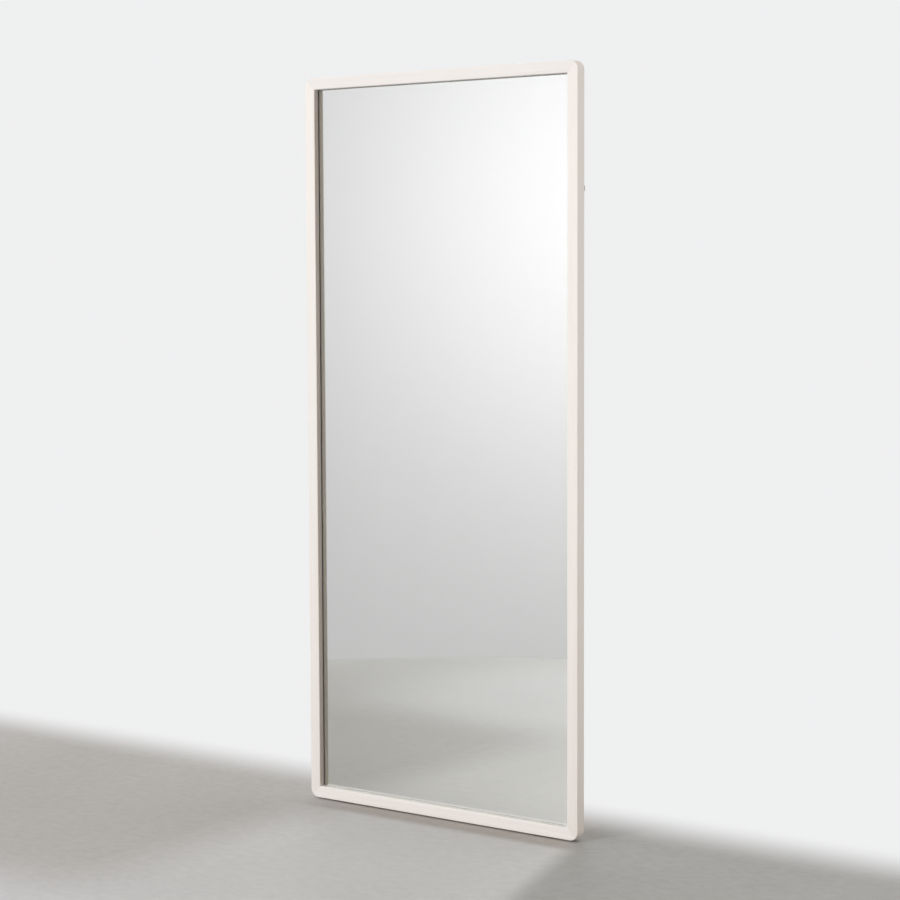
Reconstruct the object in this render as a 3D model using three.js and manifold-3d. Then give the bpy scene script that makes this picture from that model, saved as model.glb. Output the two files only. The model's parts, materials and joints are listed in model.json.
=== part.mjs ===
// A full-length leaning floor mirror: a slim whitewashed timber frame, mitred at the corners and rounded
// on the outside, round a silvered glass pane that sits in a rebate behind the front lip.
//
// Frame of the part, in millimetres: +X to the viewer's right, +Y from the viewer into the mirror (towards
// the wall), +Z up. The origin is at floor level, under the middle of the overall box.
//
// From front to back the frame holds: lip, glazing tape, glass, corrugated filler sheet, backing board.
// Turn buttons on the rear rim keep the board in. D-rings on the stiles hang or tether the mirror, rubber
// bumpers keep it off the wall and two rubber pads keep it off the floor.

import * as THREE from "three";
import { mergeVertices } from "three/addons/utils/BufferGeometryUtils.js";
import Module from "manifold-3d";

// ---- driving dimensions -------------------------------------------------------------------------
const FRAME_W = 800; // outside width
const FRAME_H = 1800; // outside height, without the foot pads
const FRAME_D = 30; // depth of the frame section
const FACE_W = 29; // visible width of each member
const CORNER_R = 22; // outside corner radius
const LIP_T = 15; // timber in front of the glass
const REBATE_W = 10; // width of the rebate behind the lip
const MITRE_GAP = 0.2; // glue line, measured along the stile

const FOOT_T = 3; // rubber foot pads
const FOOT_L = 60;
const FOOT_D = 24;
const FOOT_X = 300;

const TAPE_T = 1; // grey foam glazing tape
const TAPE_W = 6;
const GLASS_T = 3; // silvered float glass
const GLASS_GAP = 2; // all round, inside the rebate
const FILLER_T = 5; // corrugated cardboard behind the glass
const BOARD_T = 6; // fibreboard back, flush with the rear rim
const BOARD_GAP = 1;

const BUMPER_T = 6; // rubber wall bumpers
const BUMPER_R = 7.5;
const BUMPER_X = 340; // on the top and bottom rails, out of sight from the front

const TENON_T = 5; // loose tenon across each mitre
const TENON_W = 12;
const TENON_L = 22;
const TENON_Y = 5; // from the front face to the tenon
const TENON_FIT = 0.3;

const BUTTON_T = 1.5; // turn buttons
const BUTTON_W = 12;
const BUTTON_LONG = 22; // pivot to tip
const BUTTON_SHORT = 7; // pivot to heel
const BUTTON_LIFT = 0.2; // clearance under the button

const SHANK_R = 1.6; // 3.2 mm pan-head screws
const SHANK_L = 15;
const HEAD_R = 3.4;
const HEAD_H = 2.2;
const HOLE_R = 1.8; // clearance hole, in metal and in timber

const WIRE_R = 1.3; // D-ring wire
const RING_HALF_W = 7.2; // centreline half width
const RING_DROP = 14.7; // pivot to centreline of the bow
const STRAP_T = 1.2;
const STRAP_W = 9.6;
const STRAP_L = 38; // pivot to the strap's lower end
const KNUCKLE_R = 2.65;
const KNUCKLE_BORE_R = 1.5;
const RING_Z = 1520; // height of the D-ring pivots

// ---- derived positions --------------------------------------------------------------------------
const Y_FRONT = -(FRAME_D + BUMPER_T) / 2;
const Y_BACK = Y_FRONT + FRAME_D;
const Z_LOW = FOOT_T;
const Z_HIGH = FOOT_T + FRAME_H;
const Z_MID = (Z_LOW + Z_HIGH) / 2;
const HALF_W = FRAME_W / 2;
const OPEN_X = HALF_W - FACE_W; // half width of the sight opening
const OPEN_LOW = Z_LOW + FACE_W;
const OPEN_HIGH = Z_HIGH - FACE_W;
const REB_X = OPEN_X + REBATE_W; // half width of the rebate
const REB_LOW = OPEN_LOW - REBATE_W;
const REB_HIGH = OPEN_HIGH + REBATE_W;
const RIM_X = (REB_X + HALF_W) / 2; // centre line of the rear rim
const RIM_LOW = (Z_LOW + REB_LOW) / 2;
const RIM_HIGH = (Z_HIGH + REB_HIGH) / 2;
const Y_TAPE = Y_FRONT + LIP_T;
const Y_GLASS = Y_TAPE + TAPE_T;
const Y_FILLER = Y_GLASS + GLASS_T;
const Y_BOARD = Y_FILLER + FILLER_T;

// ---- materials ----------------------------------------------------------------------------------
const paint = (color, roughness, metalness = 0) =>
  new THREE.MeshStandardMaterial({ color, roughness, metalness });
const timber = paint(0xe9e3dd, 0.62);
const beech = paint(0xc9a67a, 0.7);
const silver = paint(0xe4e7e7, 0.03, 1);
const tapeGrey = paint(0xa6a29b, 0.9);
const cardboard = paint(0xb58d5f, 0.9);
const fibreboard = paint(0x9a7754, 0.8);
const nickel = paint(0xb9b7b2, 0.32, 1);
const rubber = paint(0x1d1d1e, 0.75);

// ---- solid modelling helpers --------------------------------------------------------------------
const wasm = await Module();
wasm.setup();

function solid(geometry) {
  const bare = (geometry.index ? geometry.toNonIndexed() : geometry).clone();
  bare.deleteAttribute("normal");
  bare.deleteAttribute("uv");
  const merged = mergeVertices(bare, 1e-4);
  const triVerts = new Uint32Array(merged.index.array);
  const make = () =>
    new wasm.Manifold(
      new wasm.Mesh({
        numProp: 3,
        vertProperties: new Float32Array(merged.attributes.position.array),
        triVerts,
      }),
    );
  let body = make();
  if (body.volume() < 0) {
    for (let i = 0; i < triVerts.length; i += 3)
      [triVerts[i + 1], triVerts[i + 2]] = [triVerts[i + 2], triVerts[i + 1]];
    body = make();
  }
  return body;
}

function geometryOf(body) {
  const m = body.getMesh();
  const at = new Float32Array(m.numVert * 3);
  for (let i = 0; i < m.numVert; i++)
    at.set(m.vertProperties.subarray(i * m.numProp, i * m.numProp + 3), i * 3);
  const g = new THREE.BufferGeometry();
  g.setAttribute("position", new THREE.BufferAttribute(at, 3));
  g.setIndex(new THREE.BufferAttribute(new Uint32Array(m.triVerts), 1));
  const flat = g.toNonIndexed();
  flat.computeVertexNormals();
  return flat;
}

const root = new THREE.Group();

function add(name, geometry, material) {
  const mesh = new THREE.Mesh(geometry, material);
  mesh.name = name;
  root.add(mesh);
  return mesh;
}

// A box from its two corners.
function slab(x0, x1, y0, y1, z0, z1) {
  const g = new THREE.BoxGeometry(x1 - x0, y1 - y0, z1 - z0);
  g.translate((x0 + x1) / 2, (y0 + y1) / 2, (z0 + z1) / 2);
  return g;
}

// A shape drawn in X and Z, made thick along Y from y0 to y1.
function plate(shape, y0, y1, curveSegments = 8) {
  const g = new THREE.ExtrudeGeometry(shape, {
    depth: y1 - y0,
    bevelEnabled: false,
    curveSegments,
  });
  g.rotateX(Math.PI / 2); // shape Y becomes Z, and the depth runs along -Y
  g.translate(0, y1, 0);
  return g;
}

function polygon(points) {
  return new THREE.Shape(points.map(([x, z]) => new THREE.Vector2(x, z)));
}

function roundedRect(x0, z0, x1, z1, r) {
  const s = new THREE.Shape();
  s.moveTo(x0 + r, z0);
  s.lineTo(x1 - r, z0);
  s.absarc(x1 - r, z0 + r, r, -Math.PI / 2, 0, false);
  s.lineTo(x1, z1 - r);
  s.absarc(x1 - r, z1 - r, r, 0, Math.PI / 2, false);
  s.lineTo(x0 + r, z1);
  s.absarc(x0 + r, z1 - r, r, Math.PI / 2, Math.PI, false);
  s.lineTo(x0, z0 + r);
  s.absarc(x0 + r, z0 + r, r, Math.PI, 1.5 * Math.PI, false);
  return s;
}

// A cylinder along Y.
function rod(r, x, z, y0, y1, sides) {
  const g = new THREE.CylinderGeometry(r, r, y1 - y0, sides);
  g.translate(x, (y0 + y1) / 2, z);
  return g;
}

// ---- where things go ----------------------------------------------------------------------------
// Turn buttons: four on each stile and two on each rail, with the long end over the board.
const buttons = [];
[-750, -250, 250, 750].forEach((dz, i) => {
  buttons.push({ name: `left_${i + 1}`, x: -RIM_X, z: Z_MID + dz, angle: 0 });
  buttons.push({
    name: `right_${i + 1}`,
    x: RIM_X,
    z: Z_MID + dz,
    angle: Math.PI,
  });
});
[-190, 190].forEach((x, i) => {
  buttons.push({ name: `bottom_${i + 1}`, x, z: RIM_LOW, angle: -Math.PI / 2 });
  buttons.push({ name: `top_${i + 1}`, x, z: RIM_HIGH, angle: Math.PI / 2 });
});
const strapScrews = [];
[-1, 1].forEach((side) => {
  [20, 32].forEach((drop, i) => {
    strapScrews.push({
      name: `${side < 0 ? "left" : "right"}_${i + 1}`,
      x: side * RIM_X,
      z: RING_Z - drop,
    });
  });
});
const mitres = [
  { name: "bottom_left", x: -1, z: -1 },
  { name: "bottom_right", x: 1, z: -1 },
  { name: "top_left", x: -1, z: 1 },
  { name: "top_right", x: 1, z: 1 },
].map((m) => ({
  ...m,
  cx: m.x * (HALF_W - FACE_W / 2),
  cz: Z_MID + m.z * (FRAME_H / 2 - FACE_W / 2),
  turn: m.x * m.z > 0 ? Math.PI / 4 : -Math.PI / 4,
}));

// The loose tenon's box: long across the mitre, wide along it.
function tenonBox(m, grow) {
  const g = new THREE.BoxGeometry(
    TENON_L + 2 * grow,
    TENON_T + 2 * grow,
    TENON_W + 2 * grow,
  );
  g.rotateY(m.turn);
  g.translate(m.cx, Y_FRONT + TENON_Y + TENON_T / 2, m.cz);
  return g;
}

// ---- frame members ------------------------------------------------------------------------------
// One rounded ring with its sight opening and rebate, bored for the screws and mortised for the tenons,
// and then cut on the mitre lines into two stiles and two rails.
let ring = solid(
  plate(
    roundedRect(-HALF_W, Z_LOW, HALF_W, Z_HIGH, CORNER_R),
    Y_FRONT,
    Y_BACK,
    10,
  ),
)
  .subtract(
    solid(
      slab(-OPEN_X, OPEN_X, Y_FRONT - 5, Y_BACK + 5, OPEN_LOW, OPEN_HIGH),
    ),
  )
  .subtract(
    solid(slab(-REB_X, REB_X, Y_TAPE, Y_BACK + 5, REB_LOW, REB_HIGH)),
  );
for (const p of [...buttons, ...strapScrews])
  ring = ring.subtract(
    solid(rod(HOLE_R, p.x, p.z, Y_BACK - SHANK_L - 1, Y_BACK + 5, 12)),
  );
for (const m of mitres) ring = ring.subtract(solid(tenonBox(m, TENON_FIT)));

const OVER = 12; // how far the cutting wedges pass the outside
const IN = 100; // and how far they pass the sight line
function stileWedge(side) {
  const out = side * (HALF_W + OVER);
  const inn = side * (HALF_W - IN);
  return plate(
    polygon([
      [out, Z_LOW - OVER + MITRE_GAP],
      [inn, Z_LOW + IN + MITRE_GAP],
      [inn, Z_HIGH - IN - MITRE_GAP],
      [out, Z_HIGH + OVER - MITRE_GAP],
    ]),
    Y_FRONT - 5,
    Y_BACK + 5,
  );
}
function railWedge(end) {
  const edge = end < 0 ? Z_LOW : Z_HIGH;
  const out = edge + end * OVER;
  const inn = edge - end * IN;
  return plate(
    polygon([
      [-(HALF_W + OVER), out],
      [HALF_W + OVER, out],
      [HALF_W - IN, inn],
      [-(HALF_W - IN), inn],
    ]),
    Y_FRONT - 5,
    Y_BACK + 5,
  );
}
add(
  "frame_stile_left",
  geometryOf(ring.intersect(solid(stileWedge(-1)))),
  timber,
);
add(
  "frame_stile_right",
  geometryOf(ring.intersect(solid(stileWedge(1)))),
  timber,
);
add("frame_rail_top", geometryOf(ring.intersect(solid(railWedge(1)))), timber);
add(
  "frame_rail_bottom",
  geometryOf(ring.intersect(solid(railWedge(-1)))),
  timber,
);
for (const m of mitres) add(`mitre_tenon_${m.name}`, tenonBox(m, 0), beech);

// ---- glazing ------------------------------------------------------------------------------------
const GLASS_X = REB_X - GLASS_GAP;
const GLASS_LOW = REB_LOW + GLASS_GAP;
const GLASS_HIGH = REB_HIGH - GLASS_GAP;
add(
  "mirror_glass",
  slab(-GLASS_X, GLASS_X, Y_GLASS, Y_FILLER, GLASS_LOW, GLASS_HIGH),
  silver,
);
const TAPE_X = OPEN_X + 1.5; // inner edge of the side tapes
const TAPE_LOW = OPEN_LOW - 1.5;
const TAPE_HIGH = OPEN_HIGH + 1.5;
for (const [name, s] of [
  ["left", -1],
  ["right", 1],
])
  add(
    `glazing_tape_${name}`,
    slab(
      Math.min(s * TAPE_X, s * (TAPE_X + TAPE_W)),
      Math.max(s * TAPE_X, s * (TAPE_X + TAPE_W)),
      Y_TAPE,
      Y_GLASS,
      TAPE_LOW - TAPE_W,
      TAPE_HIGH + TAPE_W,
    ),
    tapeGrey,
  );
for (const [name, z0] of [
  ["top", TAPE_HIGH],
  ["bottom", TAPE_LOW - TAPE_W],
])
  add(
    `glazing_tape_${name}`,
    slab(-TAPE_X + 0.5, TAPE_X - 0.5, Y_TAPE, Y_GLASS, z0, z0 + TAPE_W),
    tapeGrey,
  );
for (const [name, s] of [
  ["left", -1],
  ["right", 1],
])
  add(
    `glass_setting_block_${name}`,
    slab(
      s * 190 - 25,
      s * 190 + 25,
      Y_GLASS + 0.2,
      Y_FILLER - 0.2,
      REB_LOW,
      GLASS_LOW,
    ),
    rubber,
  );
add(
  "filler_sheet",
  slab(-GLASS_X, GLASS_X, Y_FILLER, Y_BOARD, GLASS_LOW, GLASS_HIGH),
  cardboard,
);
add(
  "backing_board",
  slab(
    -(REB_X - BOARD_GAP),
    REB_X - BOARD_GAP,
    Y_BOARD,
    Y_BACK,
    REB_LOW + BOARD_GAP,
    REB_HIGH - BOARD_GAP,
  ),
  fibreboard,
);

// ---- screws -------------------------------------------------------------------------------------
// A pan-head screw along Y with the underside of its head at y = 0 and its point towards -Y.
function screwSolid() {
  const profile = [
    [0, -SHANK_L],
    [SHANK_R, -SHANK_L + 3.2],
    [SHANK_R, 0],
    [HEAD_R, 0],
    [HEAD_R, 0.7],
    [HEAD_R * 0.86, 1.5],
    [HEAD_R * 0.55, HEAD_H],
    [0, HEAD_H],
  ].map(([r, y]) => new THREE.Vector2(r, y));
  const slot = (w, l) => slab(-w / 2, w / 2, HEAD_H - 1.3, HEAD_H + 1, -l / 2, l / 2);
  return solid(new THREE.LatheGeometry(profile, 14))
    .subtract(solid(slot(0.9, 3.8)))
    .subtract(solid(slot(3.8, 0.9)));
}
const screwGeometry = geometryOf(screwSolid());
function screw(name, x, y, z) {
  const g = screwGeometry.clone();
  g.translate(x, y, z);
  add(name, g, nickel);
}

// ---- turn buttons -------------------------------------------------------------------------------
// A flat tongue with a round heel and a narrower round tip, free on its own screw.
function buttonGeometry(angle, x, z) {
  const s = new THREE.Shape();
  const heel = BUTTON_W / 2;
  const tip = 3.6;
  s.absarc(0, 0, heel, Math.PI / 2, 1.5 * Math.PI, false);
  s.lineTo(6, -heel);
  s.lineTo(BUTTON_LONG - tip, -tip);
  s.absarc(BUTTON_LONG - tip, 0, tip, -Math.PI / 2, Math.PI / 2, false);
  s.lineTo(6, heel);
  const hole = new THREE.Path();
  hole.absarc(0, 0, HOLE_R, 0, 2 * Math.PI, true);
  s.holes.push(hole);
  const g = plate(
    s,
    Y_BACK + BUTTON_LIFT,
    Y_BACK + BUTTON_LIFT + BUTTON_T,
    8,
  );
  g.rotateY(angle); // turns the +X tongue towards -Z for a positive angle
  g.translate(x, 0, z);
  return g;
}
for (const b of buttons) {
  add(`turn_button_${b.name}`, buttonGeometry(b.angle, b.x, b.z), nickel);
  screw(
    `button_screw_${b.name}`,
    b.x,
    Y_BACK + BUTTON_LIFT + BUTTON_T + 0.2,
    b.z,
  );
}

// ---- D-ring hangers -----------------------------------------------------------------------------
// A bent wire ring, its ends meeting inside the strap's knuckle. It hangs down over the strap.
class RingPath extends THREE.Curve {
  constructor() {
    super();
    const r = 2.6;
    const w = RING_HALF_W;
    const pts = [];
    const arc = (cx, cz, rad, a0, a1, n) => {
      for (let i = 0; i <= n; i++) {
        const a = a0 + ((a1 - a0) * i) / n;
        pts.push([cx + rad * Math.cos(a), cz + rad * Math.sin(a)]);
      }
    };
    pts.push([0.25, 0]);
    arc(w - r, -r, r, Math.PI / 2, 0, 6);
    arc(0, -(RING_DROP - w), w, 0, -Math.PI, 18);
    arc(-(w - r), -r, r, Math.PI, Math.PI / 2, 6);
    pts.push([-0.25, 0]);
    this.pts = pts.map(([x, z]) => new THREE.Vector3(x, 0, z));
    this.at = [0];
    for (let i = 1; i < this.pts.length; i++)
      this.at.push(
        this.at[i - 1] + this.pts[i].distanceTo(this.pts[i - 1]),
      );
  }
  getPoint(t, target = new THREE.Vector3()) {
    const want = t * this.at[this.at.length - 1];
    let i = 1;
    while (i < this.at.length - 1 && this.at[i] < want) i++;
    const f = (want - this.at[i - 1]) / (this.at[i] - this.at[i - 1]);
    return target.copy(this.pts[i - 1]).lerp(this.pts[i], f);
  }
}
function ringGeometry(x) {
  const section = new THREE.Shape();
  section.absarc(0, 0, WIRE_R, 0, 2 * Math.PI, false);
  const g = new THREE.ExtrudeGeometry(section, {
    steps: 44,
    curveSegments: 5,
    bevelEnabled: false,
    extrudePath: new RingPath(),
  });
  const body = solid(g);
  const made = geometryOf(body);
  made.translate(x, Y_BACK + KNUCKLE_R, RING_Z);
  return made;
}
function strapGeometry(x) {
  const tube = (r, l, sides) => {
    const g = new THREE.CylinderGeometry(r, r, l, sides);
    g.rotateZ(Math.PI / 2);
    g.translate(x, Y_BACK + KNUCKLE_R, RING_Z);
    return solid(g);
  };
  let body = tube(KNUCKLE_R * 0.999, STRAP_W, 24).add(
    solid(
      slab(
        x - STRAP_W / 2,
        x + STRAP_W / 2,
        Y_BACK,
        Y_BACK + STRAP_T,
        RING_Z - STRAP_L,
        RING_Z + 0.6,
      ),
    ),
  );
  body = body.subtract(tube(KNUCKLE_BORE_R, STRAP_W + 4, 24));
  for (const s of strapScrews.filter((p) => p.x === x))
    body = body.subtract(
      solid(rod(HOLE_R + 0.1, s.x, s.z, Y_BACK - 2, Y_BACK + 4, 16)),
    );
  return geometryOf(body);
}
for (const [name, s] of [
  ["left", -1],
  ["right", 1],
]) {
  add(`d_ring_strap_${name}`, strapGeometry(s * RIM_X), nickel);
  add(`d_ring_${name}`, ringGeometry(s * RIM_X), nickel);
}
for (const p of strapScrews)
  screw(`strap_screw_${p.name}`, p.x, Y_BACK + STRAP_T + 0.1, p.z);

// ---- bumpers and feet ---------------------------------------------------------------------------
for (const m of mitres) {
  const profile = [
    [0, 0],
    [BUMPER_R, 0],
    [BUMPER_R, BUMPER_T * 0.5],
    [BUMPER_R * 0.93, BUMPER_T * 0.8],
    [BUMPER_R * 0.76, BUMPER_T],
    [0, BUMPER_T],
  ].map(([r, y]) => new THREE.Vector2(r, y));
  const g = new THREE.LatheGeometry(profile, 24);
  g.translate(m.x * BUMPER_X, Y_BACK, m.z > 0 ? RIM_HIGH : RIM_LOW);
  add(`wall_bumper_${m.name}`, geometryOf(solid(g)), rubber);
}
for (const [name, s] of [
  ["left", -1],
  ["right", 1],
])
  add(
    `foot_pad_${name}`,
    slab(
      s * FOOT_X - FOOT_L / 2,
      s * FOOT_X + FOOT_L / 2,
      Y_BACK - FOOT_D,
      Y_BACK,
      0,
      FOOT_T,
    ),
    rubber,
  );

export default root;
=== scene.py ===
import json
import math
import random

import bmesh
import bpy
import numpy as np
from mathutils import Matrix, Vector


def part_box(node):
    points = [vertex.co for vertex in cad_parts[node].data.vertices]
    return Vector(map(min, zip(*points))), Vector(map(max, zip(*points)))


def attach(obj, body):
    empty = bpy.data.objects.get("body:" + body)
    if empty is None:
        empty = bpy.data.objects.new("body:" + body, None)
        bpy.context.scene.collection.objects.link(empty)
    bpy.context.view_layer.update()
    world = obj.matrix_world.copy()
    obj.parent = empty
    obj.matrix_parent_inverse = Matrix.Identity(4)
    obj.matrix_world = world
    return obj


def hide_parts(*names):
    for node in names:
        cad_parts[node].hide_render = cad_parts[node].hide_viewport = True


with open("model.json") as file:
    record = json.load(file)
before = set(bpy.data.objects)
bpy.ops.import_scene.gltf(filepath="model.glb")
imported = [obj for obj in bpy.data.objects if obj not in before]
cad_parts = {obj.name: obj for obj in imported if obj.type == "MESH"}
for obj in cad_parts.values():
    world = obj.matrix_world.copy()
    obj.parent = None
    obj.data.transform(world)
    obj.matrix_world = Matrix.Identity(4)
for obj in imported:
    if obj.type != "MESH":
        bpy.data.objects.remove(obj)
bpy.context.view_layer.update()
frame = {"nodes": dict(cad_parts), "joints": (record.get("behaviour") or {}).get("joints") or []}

nodes = frame["nodes"]
random.seed(7)

# ---------------------------------------------------------------------------------------------
# Places, read from the frame, save the rebate and the outside corner radius, which are given
# ---------------------------------------------------------------------------------------------
MM = 0.001
left_lo, left_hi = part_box("frame_stile_left")
bottom_lo, bottom_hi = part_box("frame_rail_bottom")
top_lo, top_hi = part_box("frame_rail_top")
glass_lo, glass_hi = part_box("mirror_glass")
X_OUT = -left_lo.x  # half the outside width
Y_FRONT = left_lo.y
Y_BACK = left_hi.y
Z_LOW = bottom_lo.z
Z_HIGH = top_hi.z
FACE = left_hi.x - left_lo.x
DEPTH = Y_BACK - Y_FRONT
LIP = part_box("glazing_tape_left")[0].y - Y_FRONT
REBATE = 10 * MM
CORNER = 22 * MM


# ---------------------------------------------------------------------------------------------
# Mesh helpers
# ---------------------------------------------------------------------------------------------
def link(name, mesh):
    o = bpy.data.objects.new(name, mesh)
    bpy.context.scene.collection.objects.link(o)
    return o


def finish_mesh(bm, name, sharp=34):
    bmesh.ops.remove_doubles(bm, verts=bm.verts, dist=1e-7)
    bmesh.ops.recalc_face_normals(bm, faces=bm.faces)
    me = bpy.data.meshes.new(name)
    bm.to_mesh(me)
    bm.free()
    for p in me.polygons:
        p.use_smooth = True
    me.set_sharp_from_angle(angle=math.radians(sharp))
    return me


def mesh_from(name, verts, faces, sharp=34):
    bm = bmesh.new()
    vs = [bm.verts.new(v) for v in verts]
    for f in faces:
        bm.faces.new([vs[i] for i in f])
    return finish_mesh(bm, name, sharp)


def arc(cx, cy, r, a0, a1, n):
    return [
        (
            cx + r * math.cos(math.radians(a0 + (a1 - a0) * i / n)),
            cy + r * math.sin(math.radians(a0 + (a1 - a0) * i / n)),
        )
        for i in range(n + 1)
    ]


def loft(name, rings, cap=True, closed=False, sharp=34):
    """Rings of equal length, joined by quads. Each ring is a closed loop."""
    n = len(rings[0])
    verts = [p for r in rings for p in r]
    faces = []
    for i in range(len(rings) if closed else len(rings) - 1):
        a, b = i * n, ((i + 1) % len(rings)) * n
        for k in range(n):
            faces.append((a + k, a + (k + 1) % n, b + (k + 1) % n, b + k))
    if cap and not closed:
        faces.append(tuple(range(n - 1, -1, -1)))
        faces.append(tuple(range((len(rings) - 1) * n, len(rings) * n)))
    return mesh_from(name, verts, faces, sharp)


def lathe(name, profile, segments, sharp=34):
    """A profile of (radius, height) turned about +Y. Points on the axis close it."""
    bm = bmesh.new()
    loops = []
    for r, h in profile:
        if r < 1e-9:
            loops.append([bm.verts.new((0, h, 0))])
        else:
            loops.append(
                [
                    bm.verts.new(
                        (
                            r * math.cos(2 * math.pi * k / segments),
                            h,
                            r * math.sin(2 * math.pi * k / segments),
                        )
                    )
                    for k in range(segments)
                ]
            )
    for a, b in zip(loops, loops[1:]):
        for k in range(segments):
            j = (k + 1) % segments
            if len(a) == 1:
                bm.faces.new((a[0], b[j], b[k]))
            elif len(b) == 1:
                bm.faces.new((a[k], a[j], b[0]))
            else:
                bm.faces.new((a[k], a[j], b[j], b[k]))
    return finish_mesh(bm, name, sharp)


def plate(name, outline, holes, thick, bevel, resolution=2, sharp=34):
    """A flat plate with rounded edges in the XY plane, centred on z = 0. Outline and holes are loops of points."""
    cu = bpy.data.curves.new(name, "CURVE")
    cu.dimensions = "2D"
    cu.fill_mode = "BOTH"
    cu.bevel_mode = "ROUND"
    cu.bevel_depth = bevel
    cu.bevel_resolution = resolution
    cu.extrude = thick / 2 - bevel
    cu.offset = -bevel
    for loop in [outline, *holes]:
        sp = cu.splines.new("POLY")
        sp.points.add(len(loop) - 1)
        for p, (x, y) in zip(sp.points, loop):
            p.co = (x, y, 0, 1)
        sp.use_cyclic_u = True
    o = link(name + "_curve", cu)
    bpy.context.view_layer.update()
    dg = bpy.context.evaluated_depsgraph_get()
    me = bpy.data.meshes.new_from_object(o.evaluated_get(dg))
    bpy.data.objects.remove(o)
    bpy.data.curves.remove(cu)
    bm = bmesh.new()
    bm.from_mesh(me)
    bpy.data.meshes.remove(me)
    return finish_mesh(bm, name, sharp)


def boolean(base, tool, operation):
    """base with tool cut from it, kept in common with it or joined to it, as a new mesh."""
    a, b = link("a", base), link("b", tool)
    m = a.modifiers.new("b", "BOOLEAN")
    m.operation = operation
    m.solver = "EXACT"
    m.object = b
    bpy.context.view_layer.update()
    dg = bpy.context.evaluated_depsgraph_get()
    me = bpy.data.meshes.new_from_object(a.evaluated_get(dg))
    bpy.data.objects.remove(a)
    bpy.data.objects.remove(b)
    me.materials.clear()
    return me


def box_mesh(name, lo, hi):
    x0, y0, z0 = lo
    x1, y1, z1 = hi
    v = [(x, y, z) for x in (x0, x1) for y in (y0, y1) for z in (z0, z1)]
    f = [(0, 1, 3, 2), (4, 6, 7, 5), (0, 4, 5, 1), (2, 3, 7, 6), (0, 2, 6, 4), (1, 5, 7, 3)]
    return mesh_from(name, v, f)


def bevelled(o, width, segments=3, angle=35):
    m = o.modifiers.new("eased", "BEVEL")
    m.width = width
    m.segments = segments
    m.limit_method = "ANGLE"
    m.angle_limit = math.radians(angle)
    m.harden_normals = False
    return o


def place(name, mesh, material, body, node, matrix=None):
    o = link(name, mesh)
    if matrix is not None:
        o.matrix_world = matrix
    if material is not None and not len(mesh.materials):
        mesh.materials.append(material)
    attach(o, body)
    if node:
        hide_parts(node)
    return o


# ---------------------------------------------------------------------------------------------
# Materials
# ---------------------------------------------------------------------------------------------
class Mat:
    """A material with a Principled shader and a few short ways to feed it."""

    def __init__(self, name, **sockets):
        self.m = bpy.data.materials.new(name)
        self.m.use_nodes = True
        self.nt = self.m.node_tree
        self.nt.nodes.clear()
        self.out = self.nt.nodes.new("ShaderNodeOutputMaterial")
        self.bsdf = self.nt.nodes.new("ShaderNodeBsdfPrincipled")
        self.nt.links.new(self.bsdf.outputs[0], self.out.inputs[0])
        self.coord = None
        for k, v in sockets.items():
            self.set(k.replace("_", " "), v)

    def set(self, socket, value):
        self.bsdf.inputs[socket].default_value = (
            (*value, 1.0) if isinstance(value, tuple) and len(value) == 3 else value
        )

    def node(self, kind, **props):
        n = self.nt.nodes.new(kind)
        for k, v in props.items():
            setattr(n, k, v)
        return n

    def join(self, a, b):
        self.nt.links.new(a, b)

    def where(self, scale=(1, 1, 1), offset=(0, 0, 0)):
        if self.coord is None:
            self.coord = self.node("ShaderNodeTexCoord")
        mp = self.node("ShaderNodeMapping")
        mp.inputs["Scale"].default_value = scale
        mp.inputs["Location"].default_value = offset
        self.join(self.coord.outputs["Object"], mp.inputs["Vector"])
        return mp.outputs[0]

    def noise(self, scale, at=None, detail=4, rough=0.55, distortion=0.0):
        n = self.node("ShaderNodeTexNoise")
        n.inputs["Scale"].default_value = scale
        n.inputs["Detail"].default_value = detail
        n.inputs["Roughness"].default_value = rough
        n.inputs["Distortion"].default_value = distortion
        self.join(at if at is not None else self.where(), n.inputs["Vector"])
        return n.outputs["Fac"]

    def ramp(self, fac, stops):
        r = self.node("ShaderNodeValToRGB")
        els = r.color_ramp.elements
        while len(els) < len(stops):
            els.new(0.5)
        for e, (p, c) in zip(els, stops):
            e.position = p
            e.color = (*c, 1.0) if isinstance(c, tuple) else (c, c, c, 1.0)
        self.join(fac, r.inputs["Fac"])
        return r.outputs["Color"]

    def math(self, op, a, b):
        n = self.node("ShaderNodeMath", operation=op)
        for i, v in enumerate((a, b)):
            if isinstance(v, (int, float)):
                n.inputs[i].default_value = v
            else:
                self.join(v, n.inputs[i])
        return n.outputs[0]

    def mix(self, fac, a, b, blend="MIX"):
        n = self.node("ShaderNodeMix", data_type="RGBA", blend_type=blend)
        for i, v in ((0, fac), (6, a), (7, b)):
            if isinstance(v, (int, float)):
                n.inputs[i].default_value = v
            elif isinstance(v, tuple):
                n.inputs[i].default_value = (*v, 1.0)
            else:
                self.join(v, n.inputs[i])
        return n.outputs[2]

    def feed(self, socket, value):
        self.join(value, self.bsdf.inputs[socket])

    def bump(self, *heights, strength=0.4, distance=0.0003):
        n = self.node("ShaderNodeBump")
        n.inputs["Strength"].default_value = strength
        n.inputs["Distance"].default_value = distance
        h = heights[0]
        for extra in heights[1:]:
            h = self.math("ADD", h, extra)
        self.join(h, n.inputs["Height"])
        self.join(n.outputs[0], self.bsdf.inputs["Normal"])


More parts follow.
